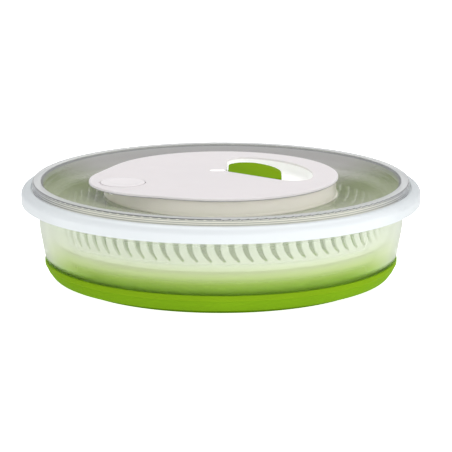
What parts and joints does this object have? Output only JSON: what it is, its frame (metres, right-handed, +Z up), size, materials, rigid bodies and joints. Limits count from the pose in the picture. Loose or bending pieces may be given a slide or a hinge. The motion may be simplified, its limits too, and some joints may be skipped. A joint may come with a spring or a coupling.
{
  "type": "salad spinner",
  "caption": "Round folding salad spinner with a soft folding bowl and slotted basket, clear lid, cord pull handle and rocker brake button, shown folded flat.",
  "frame": {"origin": "bottom centre, on the surface the foot ring stands on, on the axis of the bowl", "axes": "+Z up along the spin axis; the handle pulls out towards +X and a little +Y, the brake button is on the opposite side"},
  "size_m": [0.2697, 0.2696, 0.0742],
  "materials": {
    "white_plastic": "fine satin moulding",
    "frosted_plastic": "frosted, light passes through",
    "collar_plastic": "frosted, thick and nearly white",
    "basket_plastic": "milky, light passes through",
    "clear_plastic": "polished, faint smoke tint",
    "green_soft": "satin soft elastomer",
    "green_gloss": "satin gloss",
    "seal_rubber": "matt silicone",
    "bearing_plastic": "plain acetal",
    "brass": "turned",
    "steel": "bright drawn"
  },
  "bodies": {
    "bowl_base": {"bowl_base": "green_gloss", "foot_ring": "green_soft", "pivot_pin": "steel", "pivot_washer": "bearing_plastic", "bowl_membrane": "green_soft"},
    "bowl_ring": {"bowl_wall": "frosted_plastic", "bowl_collar": "collar_plastic"},
    "lid": {"lid_cover": "clear_plastic", "lid_gasket": "seal_rubber", "top_plate": "white_plastic", "mechanism_pan": "white_plastic", "shaft_bush": "brass", "recoil_spring": "steel", "cord_eyelet": "steel", "housing_screws": "steel", "button_hinge_pin": "steel"},
    "cord_drum": {"cord_drum": "bearing_plastic", "clutch_spring": "steel"},
    "drive_disc": {"drive_shaft": "steel", "clutch_hub": "brass", "thrust_washer": "bearing_plastic", "disc_screw": "steel", "drive_disc": "clear_plastic"},
    "brake_button": {"brake_button": "white_plastic"},
    "brake_plunger": {"brake_plunger": "bearing_plastic", "brake_pad": "seal_rubber", "brake_spring": "steel"},
    "pull_handle": {"pull_handle": "green_gloss", "cord_ferrule": "brass"},
    "basket_base": {"basket_base": "basket_plastic", "basket_bush": "bearing_plastic", "basket_membrane": "green_soft"},
    "basket_ring": {"basket_ring": "basket_plastic"}
  },
  "joints": [
    {"name": "bowl_unfold", "type": "slide", "parent": "bowl_base", "child": "bowl_ring", "axis": [0, 0, 1], "range_m": [0, 0.05], "deforming": ["bowl_membrane"]},
    {"name": "basket_spin", "type": "hinge", "parent": "bowl_base", "child": "basket_base", "pos_m": [0, 0, 0.0085], "axis": [0, 0, 1], "continuous": true},
    {"name": "basket_unfold", "type": "slide", "parent": "basket_base", "child": "basket_ring", "axis": [0, 0, 1], "range_m": [0, 0.05], "deforming": ["basket_membrane"]},
    {"name": "lid_lift", "type": "slide", "parent": "bowl_ring", "child": "lid", "axis": [0, 0, 1], "range_m": [0, 0.12]},
    {"name": "disc_spin", "type": "hinge", "parent": "lid", "child": "drive_disc", "pos_m": [0, 0, 0.05], "axis": [0, 0, 1], "continuous": true},
    {"name": "handle_pull", "type": "slide", "parent": "lid", "child": "pull_handle", "axis": [0.7394, 0.3527, 0.5736], "range_m": [0, 0.4], "stiffness_N_per_m": 6, "springref_m": -0.05},
    {"name": "drum_turn", "type": "hinge", "parent": "lid", "child": "cord_drum", "pos_m": [0, 0, 0.052], "axis": [0, 0, 1], "range_deg": [0, 955]},
    {"name": "brake_press", "type": "hinge", "parent": "lid", "child": "brake_button", "pos_m": [-0.07622, -0.03079, 0.07], "axis": [-0.3746, 0.9272, 0], "range_deg": [0, 5], "stiffness_Nm_per_rad": 0.5, "springref_deg": -5.73},
    {"name": "plunger_drop", "type": "slide", "parent": "lid", "child": "brake_plunger", "axis": [0, 0, -1], "range_m": [0, 0.002], "deforming": ["brake_spring"]}
  ],
  "couplings": [
    {"joint": "basket_unfold", "follows": "bowl_unfold", "ratio": 1},
    {"joint": "disc_spin", "follows": "basket_spin", "ratio": 1},
    {"joint": "drum_turn", "follows": "handle_pull", "rad_per_m": 41.667},
    {"joint": "plunger_drop", "follows": "brake_press", "m_per_rad": 0.0222}
  ]
}
